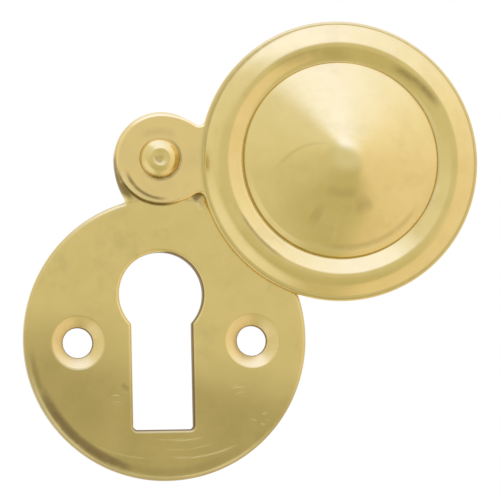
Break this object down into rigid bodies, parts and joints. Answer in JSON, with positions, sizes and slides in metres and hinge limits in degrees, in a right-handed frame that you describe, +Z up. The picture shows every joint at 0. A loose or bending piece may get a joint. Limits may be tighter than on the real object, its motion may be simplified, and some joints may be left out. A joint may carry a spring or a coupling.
{
  "type": "keyhole escutcheon",
  "caption": "Round brass keyhole escutcheon with a domed swing cover that turns on one rivet, shown swung open.",
  "frame": {"origin": "midway between the two screw holes, on the plate's flat back", "axes": "+Z up as it hangs on a door, +X to the right as seen from the front, -Y out of the front"},
  "size_m": [0.0571, 0.0083, 0.0568],
  "materials": {
    "plate_brass": "polished, with fine scratches",
    "cover_brass": "polished, turned lines round the dome",
    "rivet_brass": "polished, worn"
  },
  "bodies": {
    "plate": {"back_plate": "plate_brass", "pivot_rivet": "rivet_brass"},
    "cover": {"swing_cover": "cover_brass"}
  },
  "joints": [
    {"name": "cover_swing", "type": "hinge", "parent": "plate", "child": "cover", "pos_m": [-0.00042, -0.002, 0.02258], "axis": [0, -1, 0], "continuous": true}
  ]
}
